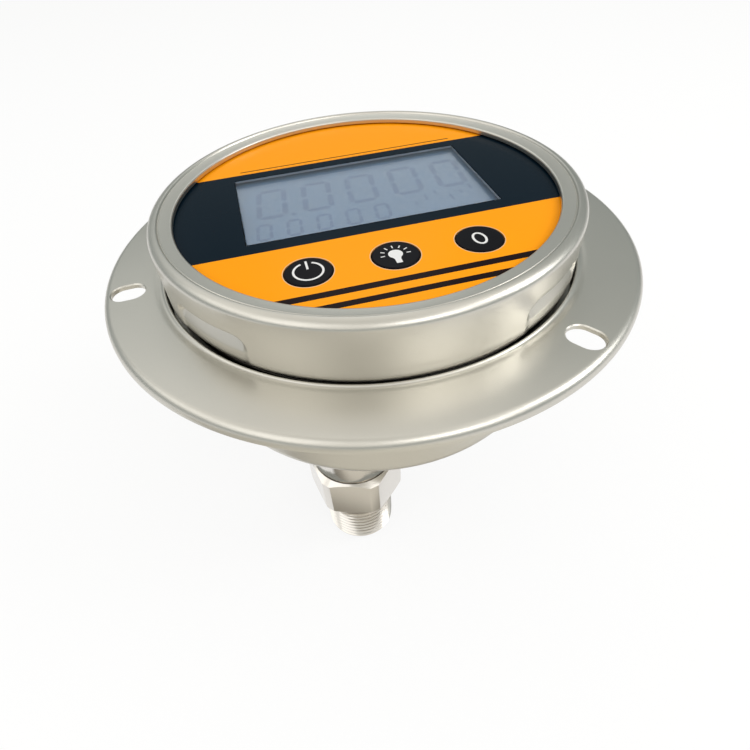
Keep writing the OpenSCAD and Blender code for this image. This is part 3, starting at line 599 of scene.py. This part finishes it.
def set_out(name, master, places, turns, flip, slot, node, material):
    """Sets one copy of a master piece at each place in mm, each turned by its own angle."""
    spots = bmesh.new()
    for place in places:
        spots.verts.new(Vector(place) * MM)
    made = piece(name, spots, material)
    aims = made.data.attributes.new("aim", "FLOAT_VECTOR", "POINT")
    for k, turn in enumerate(turns):
        aims.data[k].vector = (math.pi if flip else 0, 0, math.radians(turn))
    tree, start, end, size = tree_on(made, name + "_row")
    add, link = tree.nodes.new, tree.links.new
    scale = size("Size", 1.0)
    one = add("GeometryNodeObjectInfo")
    one.inputs["Object"].default_value = master
    aim = add("GeometryNodeInputNamedAttribute")
    aim.data_type = "FLOAT_VECTOR"
    aim.inputs["Name"].default_value = "aim"
    row = add("GeometryNodeInstanceOnPoints")
    link(start.outputs["Geometry"], row.inputs["Points"])
    link(one.outputs["Geometry"], row.inputs["Instance"])
    link(aim.outputs[0], row.inputs["Rotation"])
    link(scale, row.inputs["Scale"])
    settle(made, tree, end, row.outputs[0], material)
    bpy.data.objects.remove(master)
    stand_for(made, "gauge", slot, *([node] if node else []))


def beside_stem(along):
    """Place on the line through both ears, at a distance from the connection's axis."""
    turn = math.radians(stem_turn)
    return stem_at[0] - along * math.sin(turn), stem_at[1] + along * math.cos(turn)


case_back, board_low, board_high = -32.0, 4.0, 5.6
set_out("rear_screws", screw(1.95, 4.2, 3.5, 2.4, 0.9, 1.1),
        [(*beside_stem(ear_screw_at * side), case_back) for side in (-1, 1)], (25, 130), False,
        "plated_screw", "stem_screws", plated_screw)


# Sensor. A steel cell with a stepped diaphragm sits on an O-ring in the cup, under a threaded brass
# ring. Five gilt pins carry its small round board, and a flat film lead joins that to the main board.
brass = finish("brass", (0.62, 0.43, 0.16), 0.24, metal=1, mottle=0.05, patch=250, grain=1500, swing=0.06)
for node in ("sensor_clamp_ring", "sensor_pins"):
    coat(node, brass)
coat("sensor_cell", turned_steel)
lead_film = finish("lead_film", (0.80, 0.80, 0.76), 0.35, mottle=0.04, patch=200)
coat("flat_lead", lead_film)


# Boards. Glass-fibre laminate under green resist, with the chip, two capacitors and the lead's plug
# on the rear side and the display and three push switches on the front.
circuit_board = finish("circuit_board", (0.010, 0.085, 0.028), 0.36, mottle=0.25, patch=900, grain=4000,
                       swing=0.06, relief=0.3, depth=0.05)
for node in ("main_board", "sensor_board"):
    coat(node, circuit_board)
coat("processor_chip", finish("chip_resin", (0.012, 0.012, 0.013), 0.55, mottle=0.15, patch=1500, grain=6000))
coat("capacitors", finish("capacitor_sleeve", (0.012, 0.018, 0.060), 0.30, mottle=0.1, patch=500))
white_moulding = finish("white_moulding", (0.72, 0.72, 0.66), 0.42, mottle=0.03, patch=200)
for node in ("sensor_plug", "power_plunger", "light_plunger", "zero_plunger"):
    coat(node, white_moulding)
black_moulding = finish("black_moulding", (0.016, 0.016, 0.018), 0.48, mottle=0.15, patch=250, grain=2600,
                        swing=0.07, relief=0.35, depth=0.05)
for node in ("face_plate", "lcd_frame", "battery_holder", "power_switch", "light_switch", "zero_switch"):
    coat(node, black_moulding)


# Battery box. Three slim cells lie in bays under the board, every second one turned round, between a
# coil of plated wire and a brass tab.
cell_jacket = finish("cell_jacket", (0.012, 0.020, 0.070), 0.28, mottle=0.08, patch=120, grain=1200)
coat("battery_cells", cell_jacket)
coat("battery_tabs", brass)
cell_l, cell_d, spring_l = 44.5, 10.5, 4.1
wire_r, winding_r, windings = 0.28, 2.70, 3.5
holder_top = board_low - 2.8
bay_top = holder_top - 1.6
cell_z = bay_top - 0.15 - cell_d / 2
bay_l, bay_pitch, holder_y = cell_l + spring_l + 0.4, cell_d + 0.3 + 0.9, 13.5
coil = piece("coil", bmesh.new(), plated_screw)
tree, start, end, size = tree_on(coil, "wound_wire")
add, link = tree.nodes.new, tree.links.new
wire = size("Wire radius", wire_r * MM)
coil_r = size("Coil radius", winding_r * MM)
coil_l = size("Length", (spring_l - 0.6) * MM)
turns = size("Turns", windings)
path = add("GeometryNodeCurveSpiral")
path.inputs["Resolution"].default_value = 32
link(turns, path.inputs["Rotations"])
link(coil_r, path.inputs["Start Radius"])
link(coil_r, path.inputs["End Radius"])
link(coil_l, path.inputs["Height"])
stock = add("GeometryNodeCurvePrimitiveCircle")
stock.inputs["Resolution"].default_value = 12
link(wire, stock.inputs["Radius"])
drawn = add("GeometryNodeCurveToMesh")
drawn.inputs["Fill Caps"].default_value = True
link(path.outputs[0], drawn.inputs["Curve"])
link(stock.outputs[0], drawn.inputs["Profile Curve"])
lying = add("GeometryNodeTransform")
lying.inputs["Translation"].default_value = (0.3 * MM, 0, 0)
lying.inputs["Rotation"].default_value = (0, math.pi / 2, 0)
link(drawn.outputs[0], lying.inputs["Geometry"])
settle(coil, tree, end, lying.outputs[0], plated_screw).shade_smooth()
sides = (-1, 1, -1)
set_out("battery_coils", coil,
        [(side * bay_l / 2, holder_y + (k - 1) * bay_pitch, cell_z) for k, side in enumerate(sides)],
        [0 if side < 0 else 180 for side in sides], False, "plated_screw", "battery_springs", plated_screw)


# Display. Two glass plates with polarisers over a light guide, on a layered rubber contact strip.
# Its unlit segments show through as faint darker bars: five large digits over five small ones.
window_w, window_h, window_y = 58.0, 32.0, 3.4
# Front of the glass, and how far bars and printing stand out of their face.
glass_top, print_h = 10.7, 0.02
coat("lcd_backlight", finish("light_guide", (0.84, 0.88, 0.92), 0.2, mottle=0.02, patch=150))
coat("zebra_strip", finish("zebra_rubber", (0.45, 0.12, 0.15), 0.55, mottle=0.35, patch=60, grow=(40, 1, 1)))
display_glass = finish("display_glass", (0.165, 0.278, 0.425), 0.22, mottle=0.07, patch=110, grain=1400,
                       swing=0.04, relief=0.05, depth=0.01)
segment_shade = finish("segment_shade", (0.098, 0.185, 0.335), 0.25, mottle=0.06, patch=160)


def box_outline(w, h):
    """Flat outline of a rectangle."""
    return [(-w / 2, -h / 2), (w / 2, -h / 2), (w / 2, h / 2), (-w / 2, h / 2)]


def eased(made, width):
    """Rounds the piece's sharp edges and makes that part of its mesh."""
    step = made.modifiers.new("eased", "BEVEL")
    step.width, step.segments = width * MM, 2
    step.limit_method, step.angle_limit = "ANGLE", math.radians(40)
    made.data = bpy.data.meshes.new_from_object(made.evaluated_get(bpy.context.evaluated_depsgraph_get()))
    made.modifiers.clear()


glass_shape = prism(box_outline(64, 40.5), 8.7, 9.69, (0, 2.15))
prism(box_outline(64, 38), 9.7, glass_top, (0, window_y), shape=glass_shape)
glass = piece("display_glass", glass_shape, display_glass)
eased(glass, 0.12)
stand_for(glass, "gauge", "display_glass", "lcd_glass")


def nought(w, h, t, z, lean):
    """One nought of six separate bars as thin solids, its lower left corner at the origin."""
    shape = bmesh.new()
    gap = 0.04 * w
    for x0, y0, x1, y1 in ((0, 0, w, 0), (0, h, w, h), (0, 0, 0, h / 2), (0, h / 2, 0, h), (w, 0, w, h / 2),
                           (w, h / 2, w, h)):
        a, b = Vector((x0, y0)), Vector((x1, y1))
        d = (b - a).normalized()
        n = Vector((-d.y, d.x)) * t / 2
        a, b = a + d * gap, b - d * gap
        line = [a, a + d * t / 2 - n, b - d * t / 2 - n, b, b - d * t / 2 + n, a + d * t / 2 + n]
        prism([(p.x + p.y * lean, p.y) for p in line], z, z + print_h, shape=shape)
    return shape


# First place, width, height, width of a bar and pitch of each row of digits.
for name, x, y, w, h, t, pitch in (("large", -25.0, 0.6, 6.2, 13.1, 1.35, 11.2),
                                   ("small", -26.3, -8.9, 3.0, 6.3, 0.8, 6.9)):
    digit = piece("digit", nought(w, h, t, glass_top, 0.09), segment_shade)
    set_out(name + "_digits", digit, [(x + k * pitch, y, 0) for k in range(5)], [0] * 5, False,
            "display_glass", None, segment_shade)
point = piece("point", prism(circle(0.65, 24), glass_top, glass_top + print_h), segment_shade)
set_out("decimal_point", point, [(-16.9, 0.3, 0)], [0], False, "display_glass", None, segment_shade)
mark_shape = bmesh.new()
for k in range(6):
    prism(box_outline(0.5, 2.6 if k % 2 else 1.6), glass_top, glass_top + print_h,
          (11.5 + 2.9 * k, -5.0 + 1.8 * (k % 3)), shape=mark_shape)
unit_marks = piece("unit_marks", mark_shape, segment_shade)
stand_for(unit_marks, "gauge", "display_glass")


# Inner screws. Four hold the board to the face plate's bosses from behind, and two hold the battery
# box from the board's front side.
boss_orbit, boss_turns = 38.0, (75, 105, 218.01, 321.99)
set_out("board_screw_set", screw(1.2, 5.2, 2.8, 1.4, 0.8, 0.6),
        [(boss_orbit * math.cos(math.radians(turn)), boss_orbit * math.sin(math.radians(turn)), board_low)
         for turn in boss_turns], (10, 75, 140, 35), False, "plated_screw", "board_screws", plated_screw)
set_out("holder_screw_set", screw(1.2, 4.4, 2.4, 1.4, 0.8, 0.6),
        [(-22.2, 29.0, board_high), (22.2, 29.0, board_high)], (20, 100), True,
        "plated_screw", "holder_screws", plated_screw)


# Face plate and printed film. The film is stuck on the moulded plate: orange, a blue-black band round
# the window, a thin rule above it and two dark stripes below the keys, all under a glossy coat.
film_r, film_low, film_high = 46.0, 13.7, 14.0
key_pitch, key_drop, key_hole_r = 17.9, 26.8, 5.1
glossy_coat = dict(grain=500, swing=0.03, relief=0.05, depth=0.02, fixed={"Specular IOR Level": 0.04})
orange = finish("film_orange", (1.0, 0.345, 0.006), 0.24, mottle=0.03, patch=18, **glossy_coat)
band = finish("film_band", (0.003, 0.010, 0.018), 0.24, mottle=0.08, patch=25, **glossy_coat)
key_rim = finish("film_key_rim", (0.80, 0.50, 0.25), 0.30, mottle=0.05, patch=300)
stripe = finish("film_stripe", (0.012, 0.006, 0.006), 0.24, mottle=0.08, patch=25, **glossy_coat)


def stroke(line, width, at, z, shape, closed=False):
    """A printed line of even width along points in mm, as a thin solid on a face at a height."""
    points = [Vector(p) for p in line]
    last = len(points) - 1
    left, right = [], []
    for k, p in enumerate(points):
        before = points[k - 1] if closed or k else p
        after = points[(k + 1) % len(points)] if closed or k < last else p
        d = (after - before).normalized()
        n = Vector((-d.y, d.x)) * width / 2
        left.append(p + n)
        right.append(p - n)
    rows = [[shape.verts.new(((at[0] + p.x) * MM, (at[1] + p.y) * MM, h * MM)) for p in side]
            for side, h in ((left, z), (right, z), (right, z + print_h), (left, z + print_h))]
    for k in range(len(points) if closed else last):
        n = (k + 1) % len(points)
        for a, b in zip(rows, rows[1:] + rows[:1]):
            shape.faces.new((a[k], a[n], b[n], b[k]))
    if not closed:
        shape.faces.new([row[0] for row in rows])
        shape.faces.new([row[-1] for row in rows][::-1])


film_edge = [(0, film_low), (film_r, film_low), (film_r, film_high), (0, film_high)]
film = piece("printed_film", spun(film_edge, 192), orange, band, stripe, key_rim)
cut_by(film, piece("window_hole", prism(box_outline(window_w + 0.2, window_h + 0.2),
                                        film_low - 1, film_high + 1, (0, window_y))),
       *[piece("key_hole", prism(circle(key_hole_r, 120), film_low - 1, film_high + 1,
                                 (k * key_pitch, -key_drop))) for k in (-1, 0, 1)])
shape = bmesh.new()
shape.from_mesh(film.data)
# Lower and upper edge of each printed band, and which of the film's colours it has.
bands = ((-16.45, 22.5, 1), (-36.1, -34.25, 2), (-40.0, -38.3, 2))
for low, high, index in bands:
    for y in (low, high):
        bmesh.ops.bisect_plane(shape, geom=shape.verts[:] + shape.edges[:] + shape.faces[:],
                               plane_co=(0, y * MM, 0), plane_no=(0, 1, 0))
for face in shape.faces:
    y = face.calc_center_median().y / MM
    face.material_index = next((index for low, high, index in bands if low < y < high), 0)
stroke([(-27.2, 24.0), (29.7, 24.0)], 0.34, (0, 0), film_high, shape)
shape.faces.ensure_lookup_table()
for face in shape.faces[-6:]:
    face.material_index = 2
plain = len(shape.faces)
for k in (-1, 0, 1):
    stroke(circle(key_hole_r + 0.09, 120), 0.18, (k * key_pitch, -key_drop), film_high, shape, closed=True)
shape.faces.ensure_lookup_table()
for face in shape.faces[plain:]:
    face.material_index = 3
shape.to_mesh(film.data)
shape.free()
film.data.set_sharp_from_angle(angle=math.radians(30))
stand_for(film, "gauge", "overlay_film", "front_overlay")


# Window. A pane of clear acrylic let into the plate level with the film. Its wider foot is glued behind the
# plate, and its sawn edges are dull and blue-grey.
clear_window = finish("clear_window", (0.93, 0.96, 0.98), 0.04, mottle=0.01, patch=60, grain=700, swing=0.02,
                      relief=0.02, depth=0.01, fixed={"Transmission Weight": 1.0, "IOR": 1.49})
sawn_edge = finish("sawn_edge", (0.25, 0.31, 0.40), 0.55, mottle=0.1, patch=400, grain=3000)
pane = piece("window_pane", prism(box_outline(window_w, window_h), 12.0, 13.95, (0, window_y)),
             clear_window, sawn_edge)
foot = piece("window_foot", prism(box_outline(window_w + 3, window_h + 3), 11.0, 12.2, (0, window_y)),
             clear_window)
cut_by(pane, foot, way="UNION")
eased(pane, 0.12)
for face in pane.data.polygons:
    face.material_index = 1 if abs(face.normal.z) < 0.3 else 0
stand_for(pane, "gauge", "clear_window", "lcd_window")


# Keys. Three near-black moulded caps, each with a pale printed mark: on and off, a lamp with rays, and a
# plain nought. Each is put in from behind, and has a flange under the plate and a post on its plunger.
key_cap = finish("key_cap", (0.005, 0.005, 0.007), 0.33, mottle=0.12, patch=300, grain=2400, swing=0.05,
                 relief=0.2, depth=0.03, fixed={"Specular IOR Level": 0.06})
key_print = finish("key_print", (0.78, 0.78, 0.78), 0.45, mottle=0.02, patch=300)
key_r, key_top = 4.9, 14.2
symbol_line, ray_line, nought_line = 0.46, 0.26, 0.5

for name, place in (("power", -1), ("light", 0), ("zero", 1)):
    at = (place * key_pitch, -key_drop)
    foot_and_flange = [(0, 9.9), (2.2, 9.9), (2.2, 10.7), (key_r + 1.0, 10.7), (key_r + 1.1, 10.8),
                       (key_r + 1.1, 11.8), (key_r + 1.0, 11.9), (key_r, 11.9)]
    rounded_top = bend(key_r - 0.3, key_top - 0.3, 0.3, 0, 90, 6) + [(key_r - 0.6, key_top), (0, key_top)]
    cap = piece(name + "_cap", spun(foot_and_flange + rounded_top, 96, at), key_cap)
    stand_for(cap, name + "_button", "key_cap", name + "_key")
    marks = bmesh.new()
    if name == "power":
        stroke(bend(0, 0, 3.0, 112, 428, 48), symbol_line, at, key_top, marks)
        stroke([(0, 0.7), (0, 3.6)], symbol_line, at, key_top, marks)
    elif name == "light":
        bulb = bend(0, 0.15, 1.5, -55, 235, 30) + [(-0.62, -1.7), (-0.62, -3.1), (0.62, -3.1), (0.62, -1.7)]
        prism(bulb, key_top, key_top + print_h, at, shape=marks)
        for k in range(7):
            turn = math.radians(-4 + k * 188 / 6)
            ray = [(r * math.cos(turn), 0.15 + r * math.sin(turn)) for r in (2.25, 3.15)]
            stroke(ray, ray_line, at, key_top, marks)
    else:
        oval = [(1.25 * math.cos(math.tau * k / 48), 2.0 * math.sin(math.tau * k / 48)) for k in range(48)]
        stroke(oval, nought_line, at, key_top, marks, closed=True)
    bmesh.ops.recalc_face_normals(marks, faces=marks.faces)
    printed = piece(name + "_mark", marks, key_print)
    stand_for(printed, name + "_button", "key_cap")


# Bezel. A deep ring drawn from stainless sheet: satin skirt, rounded shoulder, stepped face and a lip
# over the film. Four tabs are pressed into the skirt and catch behind the case's rim when it is turned.
bezel_r, skirt_r, step_r, opening_r = 50.0, 49.0, 47.4, 44.3
skirt_z, bezel_z, seat, lip_low = 2.2, 16.2, 14.9, 14.3
shoulder_in, shoulder_down = 2.3, 1.8
tab_turn, tab_arc, tab_deep = 36.8, 24.8, 1.45
# Top of the tabs' hollow and width of its slope, on the outside and on the inside of the sheet.
tab_outside, tab_inside = (10.1, 1.3), (9.45, 0.65)


def from_tab(turn):
    """Angle to the middle of the nearest of the four tabs."""
    return abs((turn - tab_turn + 45) % 90 - 45)


def tab_press(turn, z, top, wall):
    """How far the skirt is pressed in at an angle and a height: steep at the top, easing out below."""
    off = from_tab(turn) / 180 * math.pi * bezel_r
    half, corner = tab_arc / 360 * math.pi * bezel_r, 3.0
    x, y = (off - half) / 1.25 + corner, z - top + corner
    inside = corner - (math.hypot(max(x, 0), max(y, 0)) + min(max(x, y), 0))
    t = max(0.0, min(1.0, inside / wall))
    ease = max(0.0, min(1.0, (top - wall - z) / 3.0))
    return tab_deep * t * t * (3 - 2 * t) * (1 - 0.86 * ease)


# The steps round the ring are closer at both ends of each tab.
turns = []
turn = 0.0
while turn < 359.99:
    turns.append(turn)
    turn += 0.3 if abs(from_tab(turn) - tab_arc / 2) < 4.5 else 1.0
shape = bmesh.new()
rings = []
edge_rows = [(0.1, 0.08), (0.03, 0.2), (0.0, 0.4), (0.0, 0.9)]
outer_rows = [4.2 + k * 0.3 for k in range(21)] + [11.0, 12.4, bezel_z - shoulder_down]
inner_rows = ([seat, 13.5, 11.5] + [9.6 - k * 0.2 for k in range(8)]
              + [7.9 - k * 0.4 for k in range(11)] + [3.4])
for turn in turns:
    edge = skirt_z + 0.25 * math.cos(math.radians(turn - 215)) + 0.5 * math.exp(-(from_tab(turn) / 17) ** 2)
    line = [(bezel_r - into - tab_press(turn, edge + z, *tab_outside), edge + z) for into, z in edge_rows]
    line += [(bezel_r - tab_press(turn, z, *tab_outside), z) for z in outer_rows]
    line += [(bezel_r - shoulder_in + shoulder_in * x, bezel_z - shoulder_down + shoulder_down * y)
             for x, y in bend(0, 0, 1, 7, 90, 12)]
    line += [(step_r + 0.26, bezel_z - 0.02), (step_r + 0.08, bezel_z - 0.16),
             (step_r - 0.04, bezel_z - 0.42), (step_r - 0.16, bezel_z - 0.44),
             (step_r - 0.32, bezel_z - 0.35)]
    line += bend(opening_r + 0.42, bezel_z - 1.1, 0.42, 84, 180, 6)
    line += [(opening_r, lip_low + 0.1), (opening_r + 0.1, lip_low), (opening_r + 1, lip_low),
             (opening_r + 1, seat)]
    line += [(skirt_r - tab_press(turn, z, *tab_inside), z) for z in inner_rows]
    line += [(line[-1][0], edge + 0.15), (line[-1][0] + 0.15, edge), (line[0][0] - 0.12, edge)]
    c, s = math.cos(math.radians(turn)), math.sin(math.radians(turn))
    rings.append([shape.verts.new((r * c * MM, r * s * MM, z * MM)) for r, z in line])
for ring, following in zip(rings, rings[1:] + rings[:1]):
    for i in range(len(ring)):
        j = (i + 1) % len(ring)
        shape.faces.new((ring[i], following[i], following[j], ring[j]))
bezel = piece("bezel_pressing", shape, satin_steel, crease=35)
stand_for(bezel, "bezel", "satin_steel", "bezel_ring")
